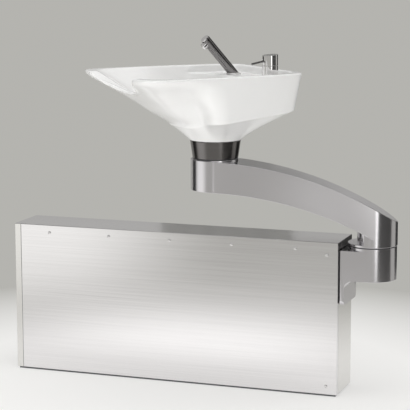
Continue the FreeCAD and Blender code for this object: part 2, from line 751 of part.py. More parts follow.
def swivel_axis():
    turn = math.radians(180 + ARM_SWING)
    return Vector(BOSS_X + ARM_LENGTH * math.cos(turn), ARM_LENGTH * math.sin(turn), 0)


def on_swivel(shape):
    placed = shape.copy()
    placed.rotate(Vector(0, 0, 0), UP, BASIN_TURN)
    placed.translate(swivel_axis())
    return placed


def spindle():
    return ring(SPINDLE_RADIUS - SPINDLE_WALL, SPINDLE_RADIUS, SPINDLE_BOTTOM, SUPPORT_BOTTOM)


def spindle_nut():
    outer = SPINDLE_RADIUS + SPINDLE_NUT_LIP
    return ring(SPINDLE_RADIUS + SNUG, outer, SPINDLE_BOTTOM, SPINDLE_NUT_TOP)


def collar():
    """Tapered sleeve turned from one profile, with a shoulder under the support flange."""
    shoulder = COLLAR_TOP_RADIUS - 2 * COLLAR_WALL
    profile = polygon_face([
        Vector(COLLAR_BOTTOM_RADIUS - COLLAR_WALL, 0, COLLAR_BOTTOM),
        Vector(COLLAR_BOTTOM_RADIUS, 0, COLLAR_BOTTOM),
        Vector(COLLAR_TOP_RADIUS, 0, COLLAR_TOP),
        Vector(COLLAR_TOP_RADIUS - COLLAR_WALL, 0, COLLAR_TOP),
        Vector(COLLAR_TOP_RADIUS - COLLAR_WALL, 0, SUPPORT_BOTTOM),
        Vector(shoulder, 0, SUPPORT_BOTTOM),
        Vector(shoulder, 0, SUPPORT_BOTTOM - COLLAR_WALL),
    ])
    return profile.revolve(Vector(0, 0, 0), UP, 360)


def support_flange():
    outer = COLLAR_TOP_RADIUS - COLLAR_WALL - SNUG
    return ring(SPINDLE_RADIUS - SPINDLE_WALL, outer, SUPPORT_BOTTOM, SUPPORT_TOP)


def basin_gasket():
    outer = COLLAR_TOP_RADIUS - COLLAR_WALL - SNUG
    return ring(outer - BASIN_GASKET_WIDTH, outer, SUPPORT_TOP, FOOT)


def superellipse_reach(angle, half_length, half_width, power):
    along = abs(math.cos(angle)) / half_length
    across = abs(math.sin(angle)) / half_width
    return (along ** power + across ** power) ** (-1.0 / power)


def degrees_from_back(angle):
    return math.degrees(abs(math.remainder(angle, 2 * math.pi)))


def apron_share(angle, starts, full):
    """0 along the skirted sides and back, 1 over the apron below the neck notch."""
    step = min(max((degrees_from_back(angle) - starts) / (full - starts), 0.0), 1.0)
    return step * step * (3 - 2 * step)


def valley_share(angle, middle, width):
    """1 along the soft valley between the skirt and the apron, falling to 0 beside it."""
    return math.exp(-((degrees_from_back(angle) - middle) / width) ** 2)


def rim_reach(angle, inset):
    return superellipse_reach(angle, RIM_HALF_LENGTH - inset, RIM_HALF_WIDTH - inset, RIM_POWER)


def outer_spot(angle, spread, inset=0.0):
    """Plan place on the outside: spread 0 is the round foot, spread 1 the rim."""
    reach = FOOT_RADIUS + (rim_reach(angle, inset) - FOOT_RADIUS) * spread
    along = reach * math.cos(angle)
    narrowing = 1 - RIM_TAPER * spread * along / RIM_HALF_LENGTH
    return RIM_CENTRE * spread + along, reach * math.sin(angle) * narrowing


def outer_point(angle, level):
    """Outside of the ceramic: level 0 the foot, 1 the skirt's lower edge, 2 the rim."""
    run = rim_reach(angle, 0) - FOOT_RADIUS + RIM_CENTRE * math.cos(angle)
    skirt_spread = 1 - SKIRT_LEAN / run
    crease = CREASE_RISE + CREASE_SLOPE * outer_spot(angle, skirt_spread)[0]
    if level <= 1:
        height = crease * level
        skirted = skirt_spread * level ** UNDER_FLARE
    else:
        height = crease + (BASIN_HEIGHT - crease) * (level - 1)
        skirted = skirt_spread + (1 - skirt_spread) * (level - 1)
    share = apron_share(angle, APRON_STARTS, APRON_FULL)
    above = max(height - crease, 0.0) / (BASIN_HEIGHT - crease)
    valley = VALLEY_DEPTH * valley_share(angle, VALLEY_ANGLE, VALLEY_WIDTH) * math.sin(math.pi * above)
    flared = min(height / (BASIN_HEIGHT - LIP_HEIGHT), 1.0) ** APRON_FLARE
    spread = skirted * (1 - share) + flared * share - valley
    x, y = outer_spot(angle, spread)
    return Vector(x, y, FOOT + height)


def bowl_point(angle, level):
    """Inside of the bowl: level 0 the floor, 1 the rim."""
    front = RIM_CENTRE - RIM_HALF_LENGTH + RIM_WALL
    half_length = (BOWL_BACK - front) / 2
    rim = superellipse_reach(angle, half_length, RIM_HALF_WIDTH - RIM_WALL, BOWL_POWER)
    share = apron_share(angle, BOWL_APRON_STARTS, BOWL_APRON_FULL)
    depth = BOWL_VALLEY_DEPTH * math.sin(math.pi * level)
    valley = depth * valley_share(angle, BOWL_VALLEY_ANGLE, BOWL_VALLEY_WIDTH)
    spread = level ** BOWL_SIDE_CURVE * (1 - share) + level ** BOWL_APRON_CURVE * share - valley
    reach = BOWL_FLOOR_RADIUS + (rim - BOWL_FLOOR_RADIUS) * spread
    x = (BOWL_BACK + front) / 2 * spread + reach * math.cos(angle)
    return Vector(x, reach * math.sin(angle), BOWL_FLOOR + (RIM - BOWL_FLOOR) * level)


def closed_outline(point_at):
    """A smooth closed curve through points taken at equal turns."""
    turns = range(OUTLINE_POINTS)
    points = [point_at(2 * math.pi * turn / OUTLINE_POINTS) for turn in turns]
    places = [turn / OUTLINE_POINTS for turn in range(OUTLINE_POINTS + 1)]
    curve = Part.BSplineCurve()
    curve.interpolate(Points=points, PeriodicFlag=True, Parameters=places)
    return Part.Wire(curve.toShape())


def loft_solid(bands):
    """One solid from bands of closed outlines that share their border outlines."""
    faces = []
    for wires in bands:
        faces += Part.makeLoft(wires, False, False).Faces
    faces.append(Part.Face(bands[0][0]))
    faces.append(Part.Face(bands[-1][-1]))
    shell = Part.Shell(faces)
    shell.sewShape()
    solid = Part.Solid(shell)
    if solid.Volume < 0:
        solid.reverse()
    return solid


def outlines(point_at, levels):
    return [closed_outline(lambda angle, level=level: point_at(angle, level)) for level in levels]


def outer_form():
    return loft_solid([outlines(outer_point, UNDER_LEVELS), outlines(outer_point, SKIRT_LEVELS)])


def bowl_form():
    return loft_solid([outlines(bowl_point, BOWL_LEVELS)])


def deck_pocket():
    """Space above the tap deck, inside the rim."""
    def inside_rim(angle):
        x, y = outer_spot(angle, 1.0, RIM_WALL + DECK_LEDGE)
        return Vector(x, y, DECK)

    outline = Part.Face(closed_outline(inside_rim))
    above = outline.extrude(Vector(0, 0, OVERCUT))
    reach = RIM_HALF_WIDTH
    return above.common(block(-DECK_OVERLAP, RIM_HALF_LENGTH, -reach, reach, DECK, DECK + OVERCUT))


def neck_notch():
    """Round-bottomed notch for the neck, cut along the apron's centre line."""
    front = RIM_CENTRE - RIM_HALF_LENGTH - OVERCUT
    half = NOTCH_WIDTH / 2
    left = Vector(front, -half, RIM)
    right = Vector(front, half, RIM)
    dip = Part.Arc(left, Vector(front, 0, RIM - NOTCH_DEPTH), right).toShape()
    sides = Part.makePolygon([right, right + UP * OVERCUT, left + UP * OVERCUT, left])
    profile = Part.Face(Part.Wire([dip] + sides.Edges))
    return profile.extrude(Vector(RIM_HALF_LENGTH - RIM_CENTRE - FOOT_RADIUS, 0, 0))


def deck_cavity():
    """Hollow under the tap deck for the tap shanks and the shower hose."""
    front = BOWL_BACK + DECK_THICKNESS
    half = DECK_CAVITY_WIDTH / 2
    bottom = DECK_UNDER - DECK_CAVITY_HEIGHT
    return block(front, front + DECK_CAVITY_DEPTH, -half, half, bottom, DECK_UNDER)


def shower_axis():
    """Unit vector up the leaning shower, towards the neck notch."""
    lean = math.radians(SHOWER_LEAN)
    return Vector(-math.sin(lean), 0, math.cos(lean))


def shower_seat():
    return Vector(TAP_SETBACK, SHOWER_ACROSS, DECK)


def basin():
    body = outer_form().cut(bowl_form())
    body = body.cut(deck_pocket()).cut(neck_notch()).cut(deck_cavity())
    body = body.cut(column(DRAIN_HOLE_RADIUS, FOOT, BOWL_FLOOR + OVERCUT))
    body = body.cut(column(FOOT_RECESS_RADIUS, FOOT - OVERCUT, FLOOR_UNDER))
    body = body.cut(tap_column(MIXER_SHANK_RADIUS + SCREW_PLAY, DECK_UNDER - SNUG, DECK + SNUG))
    start = shower_seat() - shower_axis() * HOLDER_SHANK
    return body.cut(rod(HOLDER_RADIUS + SCREW_PLAY, start, shower_axis(), HOLDER_SHANK + HOLDER_RISE))


# Waste

def waste_fitting():
    """Dished flange in the bowl with its tail pipe."""
    top = BOWL_FLOOR + WASTE_FLANGE
    tail = column(WASTE_RADIUS, WASTE_BOTTOM, top)
    fitting = column(WASTE_FLANGE_RADIUS, BOWL_FLOOR, top).fuse(tail)
    return fitting.cut(column(WASTE_RADIUS - WASTE_WALL, WASTE_BOTTOM, top))


def waste_gasket():
    outer = WASTE_RADIUS + WASTE_NUT_LIP
    return ring(WASTE_RADIUS + SNUG, outer, FLOOR_UNDER - WASTE_GASKET, FLOOR_UNDER)


def waste_nut():
    top = FLOOR_UNDER - WASTE_GASKET
    return ring(WASTE_RADIUS + SNUG, WASTE_RADIUS + WASTE_NUT_LIP, top - WASTE_NUT_HEIGHT, top)


def strainer():
    """Lift-out strainer: a pierced disc on the waste flange, with a guide ring and a knob."""
    seat = BOWL_FLOOR + WASTE_FLANGE
    reach = WASTE_RADIUS - WASTE_WALL
    disc = column(WASTE_RADIUS + STRAINER_DISC, seat, seat + STRAINER_DISC)
    guide = ring(reach - STRAINER_DISC, reach - APART, seat - STRAINER_STEM, seat)
    knob_top = seat + STRAINER_DISC + STRAINER_KNOB_HEIGHT
    body = disc.fuse([guide, column(STRAINER_KNOB_RADIUS, seat, knob_top)])
    for index in range(STRAINER_HOLES):
        turn = 2 * math.pi * index / STRAINER_HOLES
        x = STRAINER_HOLE_CIRCLE * math.cos(turn)
        y = STRAINER_HOLE_CIRCLE * math.sin(turn)
        body = body.cut(column(STRAINER_HOLE_RADIUS, seat - SNUG, seat + OVERCUT, x, y))
    return body


# Mixer

def tap_column(radius, z_low, z_high):
    return column(radius, z_low, z_high, TAP_SETBACK, MIXER_ACROSS)


def mixer_base():
    top = DECK + MIXER_BASE_HEIGHT
    base = tap_column(MIXER_FLANGE_RADIUS, DECK, DECK + MIXER_FLANGE)
    return base.fuse([
        tap_column(MIXER_RADIUS, DECK, top),
        tap_column(MIXER_SPIGOT_RADIUS, top, top + MIXER_SPIGOT_HEIGHT),
        tap_column(MIXER_SHANK_RADIUS, DECK - MIXER_SHANK_LENGTH, DECK),
    ]).removeSplitter()


def mixer_nut():
    bottom = DECK_UNDER - TAP_NUT_HEIGHT
    nut = tap_column(MIXER_SHANK_RADIUS + TAP_NUT_LIP, bottom, DECK_UNDER)
    return nut.cut(tap_column(MIXER_SHANK_RADIUS + SNUG, bottom, DECK_UNDER))


def lever_pivot():
    return Vector(TAP_SETBACK, MIXER_ACROSS, LEVER_Z)


def lever_direction(lift):
    """Unit vector along the lever, which points towards the neck notch."""
    angle = math.radians(lift - LEVER_DROOP)
    return Vector(-math.cos(angle), 0, math.sin(angle))


def lever_slot():
    """Room in the head for the lever's sweep between shut and open."""
    radius = LEVER_RADIUS + APART * 2
    slot = rod(radius, lever_pivot(), lever_direction(0), LEVER_REACH)
    open_slot = rod(radius, lever_pivot(), lever_direction(LEVER_LIFT), LEVER_REACH)
    low = lever_pivot() + lever_direction(0) * LEVER_REACH
    high = lever_pivot() + lever_direction(LEVER_LIFT) * LEVER_REACH
    sweep = polygon_face([lever_pivot(), low, high])
    sweep.translate(Vector(0, -radius, 0))
    return slot.fuse([open_slot, sweep.extrude(Vector(0, 2 * radius, 0))])


def mixer_head():
    bottom = DECK + MIXER_BASE_HEIGHT + APART
    head = tap_column(MIXER_RADIUS, bottom, MIXER_TOP + MIXER_TOP_SLANT)
    slant = polygon_face([
        Vector(TAP_SETBACK - MIXER_RADIUS, 0, MIXER_TOP - MIXER_TOP_SLANT / 2),
        Vector(TAP_SETBACK + MIXER_RADIUS, 0, MIXER_TOP + MIXER_TOP_SLANT / 2),
        Vector(TAP_SETBACK + MIXER_RADIUS, 0, MIXER_TOP + OVERCUT),
        Vector(TAP_SETBACK - MIXER_RADIUS, 0, MIXER_TOP + OVERCUT),
    ])
    slant.translate(Vector(0, MIXER_ACROSS - MIXER_RADIUS, 0))
    head = head.cut(slant.extrude(Vector(0, 2 * MIXER_RADIUS, 0)))
    head = head.cut(tap_column(MIXER_SPIGOT_RADIUS + RUNNING, bottom - SNUG, MIXER_TOP - MIXER_CAP))
    head = head.cut(lever_slot())
    return head.cut(pin_rod(LEVER_PIN_RADIUS + SNUG))


def pin_rod(radius):
    half = (MIXER_SPIGOT_RADIUS + MIXER_RADIUS) / 2
    return rod(radius, lever_pivot() - Vector(0, half, 0), Vector(0, 1, 0), 2 * half)


def lever_pin():
    return pin_rod(LEVER_PIN_RADIUS)


def mixer_lever():
    ball = Part.makeSphere(LEVER_BALL_RADIUS, lever_pivot())
    stem = rod(LEVER_RADIUS, lever_pivot(), lever_direction(0), LEVER_REACH)
    return ball.fuse(stem).cut(pin_rod(LEVER_PIN_RADIUS + RUNNING))


# Hand shower

def shower_rod(radius, low, high):
    """A round along the shower's axis between two distances from the deck."""
    start = shower_seat() + shower_axis() * low
    return rod(radius, start, shower_axis(), high - low)


def shower_holder():
    """Leaning sleeve through the tap deck, cut level a little above it."""
    seat = shower_seat()
    reach = HOLDER_RISE + OVERCUT
    sleeve = shower_rod(HOLDER_RADIUS, -HOLDER_SHANK, HOLDER_RISE)
    above = block(
        seat.x - reach, seat.x + reach, seat.y - reach, seat.y + reach,
        DECK + HOLDER_HEIGHT, DECK + reach,
    )
    socket = shower_rod(SHOWER_RADIUS + APART, -SHOWER_SEAT, reach)
    hose_way = shower_rod(SHOWER_HOSE_RADIUS + APART, -HOLDER_SHANK, HOLDER_RISE)
    return sleeve.cut(above).cut(socket).cut(hose_way)


def shower_body():
    body = shower_rod(SHOWER_RADIUS, APART - SHOWER_SEAT, SHOWER_LENGTH - SHOWER_CAP)
    inside = shower_rod(SHOWER_RADIUS - SHOWER_WALL, SHOWER_WALL, SHOWER_LENGTH)
    return body.cut(inside).cut(nozzle_rod(NOZZLE_RADIUS + SNUG, 0, NOZZLE_LENGTH))


def shower_cap():
    inner = SHOWER_RADIUS - SHOWER_WALL - SNUG
    plug = shower_rod(inner, SHOWER_LENGTH - 2 * SHOWER_CAP, SHOWER_LENGTH - SHOWER_CAP)
    rim = shower_rod(SHOWER_RADIUS - SHOWER_CAP_INSET, SHOWER_LENGTH - SHOWER_CAP, SHOWER_LENGTH)
    return plug.fuse(rim).cut(nozzle_rod(NOZZLE_RADIUS + SNUG, 0, NOZZLE_LENGTH))


def nozzle_rod(radius, low, high):
    """A round square to the shower near its tip, facing the bowl."""
    axis = shower_axis()
    outward = Vector(-axis.z, 0, axis.x)
    start = shower_seat() + axis * (SHOWER_LENGTH - NOZZLE_FROM_TIP) + outward * low
    return rod(radius, start, outward, high - low)


def spray_nozzle():
    return nozzle_rod(NOZZLE_RADIUS, 0, NOZZLE_LENGTH)


def shower_hose():
    """From the foot of the shower, in a low loop under the deck, to the mixer's shank."""
    start = shower_seat() - shower_axis() * SHOWER_SEAT
    knee = shower_seat() - shower_axis() * (HOLDER_SHANK + SHOWER_HOSE_BEND)
    low_z = DECK - SHOWER_HOSE_DROP
    return hose([
        start,
        knee,
        Vector(knee.x, SHOWER_ACROSS - 2 * SHOWER_HOSE_BEND, low_z),
        Vector(TAP_SETBACK, MIXER_ACROSS, low_z),
        Vector(TAP_SETBACK, MIXER_ACROSS, DECK - MIXER_SHANK_LENGTH),
    ], SHOWER_HOSE_BEND, SHOWER_HOSE_RADIUS)


FIXED_PIECES = (
    base_plate, frame_posts, top_rails, top_cover, front_panel, left_end_panel, right_end_panel,
    rear_panel, panel_screws, pipe_carrier, drain_hose, cabinet_supply_hoses, bracket_gasket, bracket,
    bracket_bolts, pivot_post, thrust_washer, pivot_nut,
)
ARM_PIECES = (
    arm_casting, arm_bottom_cover, arm_cover_screws, pivot_bush, swivel_bush, slip_ring, waste_hose,
    arm_supply_hoses,
)
SWIVEL_PIECES = (
    spindle, spindle_nut, collar, support_flange, basin_gasket, basin, waste_fitting, waste_gasket,
    waste_nut, strainer, mixer_base, mixer_nut, mixer_head, lever_pin, mixer_lever, shower_holder,
    shower_body, shower_cap, spray_nozzle, shower_hose,
)


def all_pieces():
    pieces = {make.__name__: make() for make in FIXED_PIECES}
    for name in PIPE_ENDS:
        pieces[name + "_stub"] = pipe_stub(name)
    pieces.update({make.__name__: on_arm(make()) for make in ARM_PIECES})
    pieces.update({make.__name__: on_swivel(make()) for make in SWIVEL_PIECES})
    return pieces


os.makedirs("parts", exist_ok=True)
for node, shape in all_pieces().items():
    shape.exportStep("parts/" + node + ".step")
    state = "valid" if shape.isValid() else "INVALID"
    print(node, len(shape.Solids), "solids", round(shape.Volume / 1000.0, 1), "cm3", state)
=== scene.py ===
import json
import math

import bmesh
import bpy
from mathutils import Matrix, Vector

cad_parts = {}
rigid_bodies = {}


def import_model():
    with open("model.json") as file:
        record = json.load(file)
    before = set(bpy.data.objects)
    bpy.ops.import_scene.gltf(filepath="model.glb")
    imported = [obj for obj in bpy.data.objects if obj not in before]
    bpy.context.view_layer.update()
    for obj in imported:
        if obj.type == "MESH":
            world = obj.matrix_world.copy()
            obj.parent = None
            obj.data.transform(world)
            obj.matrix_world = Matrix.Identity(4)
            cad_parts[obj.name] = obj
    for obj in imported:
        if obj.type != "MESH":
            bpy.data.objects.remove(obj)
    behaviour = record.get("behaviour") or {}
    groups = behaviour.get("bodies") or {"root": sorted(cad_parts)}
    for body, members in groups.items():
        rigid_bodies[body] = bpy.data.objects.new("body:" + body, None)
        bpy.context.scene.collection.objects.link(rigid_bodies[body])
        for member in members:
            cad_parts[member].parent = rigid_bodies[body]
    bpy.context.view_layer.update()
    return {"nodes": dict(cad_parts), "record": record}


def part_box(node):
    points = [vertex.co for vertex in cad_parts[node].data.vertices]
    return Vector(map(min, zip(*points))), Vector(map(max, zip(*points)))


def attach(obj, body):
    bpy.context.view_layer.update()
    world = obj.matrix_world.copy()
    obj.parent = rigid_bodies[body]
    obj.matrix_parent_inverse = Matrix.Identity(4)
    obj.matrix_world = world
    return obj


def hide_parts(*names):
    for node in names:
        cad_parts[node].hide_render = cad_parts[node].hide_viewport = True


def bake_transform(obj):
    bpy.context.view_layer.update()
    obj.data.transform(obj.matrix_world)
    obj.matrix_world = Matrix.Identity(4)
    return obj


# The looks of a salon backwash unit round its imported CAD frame: finishes, softened copies of
# the visible pieces, a plain studio stage and a camera at the photograph's angle. In metres.

for leftover in list(bpy.data.objects):
    bpy.data.objects.remove(leftover)

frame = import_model()
NODES = frame["nodes"]
BODY_OF = {
    node: body
    for body, members in frame["record"]["behaviour"]["bodies"].items()
    for node in members
}
SLOT_OF = {piece["node"]: piece["material_slot"] for piece in frame["record"]["subparts"]}
UP = Vector((0.0, 0.0, 1.0))


def level_way(angle):
    """The level direction at an angle from +X."""
    return Vector((math.cos(angle), math.sin(angle), 0.0))


def linked(name, data):
    """A new object in the scene."""
    thing = bpy.data.objects.new(name, data)
    bpy.context.collection.objects.link(thing)
    return thing


# Basin directions: u runs from the neck notch to the tap deck, v across it from the mixer to
# the hand shower
SWIVEL = Vector((0.167381, -0.144465, 0.0))
BASIN_TURN = math.radians(47.0)
ALONG = level_way(BASIN_TURN)
ACROSS = UP.cross(ALONG)
DECK_TOP = 0.9517
TAP_ROW = 0.120
SHOWER_SIDE = 0.108
MIXER_SIDE = -0.114
SHOWER_LEAN = math.radians(42.0)
SHOWER_AXIS = UP * math.cos(SHOWER_LEAN) - ALONG * math.sin(SHOWER_LEAN)


def on_basin(u, v, z):
    return SWIVEL + ALONG * u + ACROSS * v + UP * z


def basin_uv(spot):
    offset = spot - SWIVEL
    return offset.dot(ALONG), offset.dot(ACROSS)


SHOWER_SEAT = on_basin(TAP_ROW, SHOWER_SIDE, DECK_TOP)


# Materials

def shade(colour, factor):
    return tuple(min(1.0, channel * factor) for channel in colour)


class Nodes:
    """Adds and joins the shader nodes of one material."""

    def __init__(self, name):
        self.material = bpy.data.materials.new(name)
        self.material.use_nodes = True
        self.tree = self.material.node_tree
        self.shader = self.tree.nodes["Principled BSDF"]

    def add(self, kind, **settings):
        node = self.tree.nodes.new(kind)
        for key, value in settings.items():
            setattr(node, key, value)
        return node

    def join(self, source, target):
        self.tree.links.new(source, target)

    def fix(self, values):
        """Sets the shader's values that are the same all over."""
        for socket, value in values.items():
            self.shader.inputs[socket].default_value = value

    def place(self, stretch=(1.0, 1.0, 1.0)):
        """Object coordinates scaled by a stretch along each axis."""
        coordinates = self.add("ShaderNodeTexCoord")
        mapping = self.add("ShaderNodeMapping")
        mapping.inputs["Scale"].default_value = stretch
        self.join(coordinates.outputs["Object"], mapping.inputs["Vector"])
        return mapping.outputs["Vector"]

    def noise(self, vector, scale, detail, rough=0.55):
        texture = self.add("ShaderNodeTexNoise")
        texture.inputs["Scale"].default_value = scale
        texture.inputs["Detail"].default_value = detail
        texture.inputs["Roughness"].default_value = rough
        self.join(vector, texture.inputs["Vector"])
        return texture.outputs["Fac"]

    def spread(self, value, low, high, start=0.3, end=0.7):
        """Turns a value from start to end into numbers from low to high."""
        node = self.add("ShaderNodeMapRange")
        node.inputs["From Min"].default_value = start
        node.inputs["From Max"].default_value = end
        node.inputs["To Min"].default_value = low
        node.inputs["To Max"].default_value = high
        self.join(value, node.inputs["Value"])
        return node.outputs["Result"]

    def colours(self, value, first, last, start=0.3, end=0.7):
        """Turns a value from start to end into a run between two colours."""
        ramp = self.add("ShaderNodeValToRGB")
        ramp.color_ramp.elements[0].position = start
        ramp.color_ramp.elements[0].color = (*first, 1.0)
        ramp.color_ramp.elements[1].position = end
        ramp.color_ramp.elements[1].color = (*last, 1.0)
        self.join(value, ramp.inputs["Fac"])
        return ramp.outputs["Color"]

    def larger(self, one, other):
        node = self.add("ShaderNodeMath", operation="MAXIMUM")
        self.join(one, node.inputs[0])
        self.join(other, node.inputs[1])
        return node.outputs["Value"]

    def tint(self, value, colour, darker, lighter):
        """Varies the shader's colour between two shades of it."""
        run = self.colours(value, shade(colour, darker), shade(colour, lighter))
        self.join(run, self.shader.inputs["Base Color"])

    def gloss(self, value, low, high, **reach):
        """Varies the shader's roughness."""
        self.join(self.spread(value, low, high, **reach), self.shader.inputs["Roughness"])

    def bump(self, height, strength, distance):
        node = self.add("ShaderNodeBump")
        node.inputs["Strength"].default_value = strength
        node.inputs["Distance"].default_value = distance
        self.join(height, node.inputs["Height"])
        self.join(node.outputs["Normal"], self.shader.inputs["Normal"])


STREAK_SCALE = 0.32
BRUSHED_SWING = 0.03


def brushed_metal(name, colour, grain, roughness, contrast, anisotropy):
    """Metal with fine brushing that runs along the axis where the grain is small."""
    nodes = Nodes(name)
    fine = nodes.noise(nodes.place(grain), 1.0, detail=2.0, rough=0.6)
    coarse = tuple(part * STREAK_SCALE for part in grain)
    streaks = nodes.noise(nodes.place(coarse), 1.0, detail=3.0, rough=0.6)
    nodes.tint(streaks, colour, 1.0 - contrast, 1.0 + contrast)
    nodes.gloss(streaks, roughness - BRUSHED_SWING, roughness + BRUSHED_SWING, start=0.0, end=1.0)
    nodes.bump(fine, strength=0.05, distance=0.0001)
    nodes.fix({"Metallic": 1.0, "Anisotropic": anisotropy, "Anisotropic Rotation": 0.25})
    return nodes.material


def plain_metal(name, colour, roughness, contrast=0.03):
    """Polished or satin metal with a very fine grain and faint handling marks."""
    nodes = Nodes(name)
    grain = nodes.noise(nodes.place(), 900.0, detail=2.0)
    marks = nodes.noise(nodes.place(), 9.0, detail=3.0)
    nodes.tint(grain, colour, 1.0 - contrast, 1.0 + contrast)
    nodes.gloss(marks, roughness * 0.9, roughness * 1.1, start=0.0, end=1.0)
    nodes.bump(grain, strength=0.02, distance=0.00005)
    nodes.fix({"Metallic": 1.0})
    return nodes.material


def glazed_ceramic(name, colour):
    """White glaze: faint pooling in its colour and a very slight ripple."""
    nodes = Nodes(name)
    pool = nodes.noise(nodes.place(), 7.0, detail=3.0)
    ripple = nodes.noise(nodes.place(), 45.0, detail=2.0)
    nodes.tint(pool, colour, 0.985, 1.01)
    nodes.gloss(ripple, 0.10, 0.16)
    nodes.bump(ripple, strength=0.04, distance=0.0004)
    nodes.fix({"IOR": 1.52, "Coat Weight": 0.2, "Coat Roughness": 0.04})
    return nodes.material


def moulded(name, colour, roughness):
    """Rubber, plastic or card with a fine grain."""
    nodes = Nodes(name)
    fine = nodes.noise(nodes.place(), 400.0, detail=3.0)
    cloud = nodes.noise(nodes.place(), 18.0, detail=4.0)
    nodes.tint(cloud, colour, 0.85, 1.15)
    nodes.gloss(fine, roughness - 0.08, roughness + 0.08)
    nodes.bump(fine, strength=0.15, distance=0.0003)
    return nodes.material


def painted(name, colour, roughness):
    """Satin paint with slight orange peel and dust in its gloss."""
    nodes = Nodes(name)
    peel = nodes.noise(nodes.place(), 260.0, detail=2.0)
    dust = nodes.noise(nodes.place(), 14.0, detail=6.0)
    nodes.tint(dust, colour, 0.9, 1.1)
    nodes.gloss(dust, roughness - 0.06, roughness + 0.08)
    nodes.bump(peel, strength=0.08, distance=0.0003)
    return nodes.material


def braided(name, colour):
    """Woven metal sleeve of a flexible hose."""
    nodes = Nodes(name)
    weave = nodes.add("ShaderNodeTexWave", wave_type="BANDS", bands_direction="DIAGONAL")
    weave.inputs["Scale"].default_value = 260.0
    weave.inputs["Distortion"].default_value = 1.5
    nodes.join(nodes.place(), weave.inputs["Vector"])
    strands = weave.outputs["Fac"]
    nodes.tint(strands, colour, 0.6, 1.0)
    nodes.gloss(strands, 0.4, 0.22)
    nodes.bump(strands, strength=0.5, distance=0.0004)
    nodes.fix({"Metallic": 1.0})
    return nodes.material


STAINLESS = brushed_metal(
    "stainless_front", (0.85, 0.838, 0.845), grain=(7.0, 1200.0, 1200.0),
    roughness=0.17, contrast=0.035, anisotropy=0.45,
)
# The end panels use the same stainless with its brushing along their own faces. Its darker,
# warmer colour than the front's is painted shade for the cabinet's sides.
SHADED_STAINLESS_END = brushed_metal(
    "stainless_end_painted_shade", (0.80, 0.79, 0.77), grain=(1200.0, 7.0, 1200.0),
    roughness=0.22, contrast=0.035, anisotropy=0.45,
)
GUNMETAL = brushed_metal(
    "gunmetal", (0.21, 0.20, 0.20), grain=(10.0, 10.0, 1200.0),
    roughness=0.19, contrast=0.06, anisotropy=0.3,
)
CAST = plain_metal("cast_metal", (0.72, 0.705, 0.73), roughness=0.20)
CHROME = plain_metal("chrome", (0.80, 0.79, 0.79), roughness=0.07)
DARK_CHROME = plain_metal("dark_chrome", (0.25, 0.242, 0.242), roughness=0.15)
STEEL = plain_metal("plain_steel", (0.60, 0.60, 0.59), roughness=0.28, contrast=0.07)
BRASS = plain_metal("brass", (0.62, 0.46, 0.20), roughness=0.25, contrast=0.08)
CERAMIC = glazed_ceramic("white_glaze", (0.88, 0.88, 0.875))
RUBBER = moulded("rubber", (0.022, 0.022, 0.023), roughness=0.6)
BEARING = moulded("bearing_plastic", (0.05, 0.05, 0.052), roughness=0.42)
FRAME_PAINT = painted("frame_paint", (0.09, 0.095, 0.10), roughness=0.4)
BRAID = braided("hose_braid", (0.62, 0.62, 0.62))

SLOT_MATERIALS = {
    "stainless": STAINLESS,
    "steel_frame": FRAME_PAINT,
    "cast_metal": CAST,
    "gunmetal": GUNMETAL,
    "ceramic": CERAMIC,
    "chrome": CHROME,
    "dark_chrome": DARK_CHROME,
    "steel": STEEL,
    "rubber": RUBBER,
    "bearing_plastic": BEARING,
    "brass": BRASS,
}
NODE_MATERIALS = {
    # The end panels take the stainless copy with painted shade.
    "left_end_panel": SHADED_STAINLESS_END,
    "right_end_panel": SHADED_STAINLESS_END,
    "shower_hose": BRAID,
    "panel_screws": CHROME,
}


def material_of(node):
    return NODE_MATERIALS.get(node, SLOT_MATERIALS[SLOT_OF[node]])


def coat(thing, material):
    thing.data.materials.clear()
    thing.data.materials.append(material)


for node, thing in NODES.items():
    coat(thing, material_of(node))


# Meshes and pieces

SAME_PLACE = 1e-6
FLAT_WITHIN = math.radians(0.4)


def new_piece(name, mesh, material, body):
    piece = linked(name, mesh)
    coat(piece, material)
    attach(piece, body)
    return piece


def finished(shaped, name):
    """Turns a working mesh into a named mesh."""
    mesh = bpy.data.meshes.new(name)
    shaped.to_mesh(mesh)
    shaped.free()
    return mesh


def mark_smooth(shaped, degrees):
    """Smooth shading that keeps edges sharper than an angle."""
    limit = math.radians(degrees)
    for face in shaped.faces:
        face.smooth = True
    for edge in shaped.edges:
        if len(edge.link_faces) == 2:
            edge.smooth = edge.calc_face_angle(0.0) < limit


def welded(node):
    """A working copy of a node's mesh with its points and flat faces joined up."""
    shaped = bmesh.new()
    shaped.from_mesh(NODES[node].data)
    bmesh.ops.remove_doubles(shaped, verts=shaped.verts, dist=SAME_PLACE)
    bmesh.ops.dissolve_limit(
        shaped, angle_limit=FLAT_WITHIN, verts=shaped.verts, edges=shaped.edges,
    )
    return shaped


def applied(piece):
    """Bakes a piece's modifiers into its mesh."""
    graph = bpy.context.evaluated_depsgraph_get()
    mesh = bpy.data.meshes.new_from_object(piece.evaluated_get(graph))
    old = piece.data
    piece.modifiers.clear()
    piece.data = mesh
    bpy.data.meshes.remove(old)


def soften(node, width, shortest):
    """A copy of a node with small rounds on its hard edges, in place of the node."""
    shaped = welded(node)
    rounded = shaped.edges.layers.float.new("bevel_weight_edge")
    mark_smooth(shaped, 30.0)
    for edge in shaped.edges:
        paired = len(edge.link_faces) == 2
        if paired and not edge.smooth and edge.calc_length() > shortest:
            edge[rounded] = 1.0
    name = node + "_finish"
    mesh = finished(shaped, name)
    piece = new_piece(name, mesh, material_of(node), BODY_OF[node])
    edging = piece.modifiers.new("edging", "BEVEL")
    edging.limit_method = "WEIGHT"
    edging.width = width
    edging.segments = 2
    edging.use_clamp_overlap = False
    edging.harden_normals = True
    applied(piece)
    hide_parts(node)


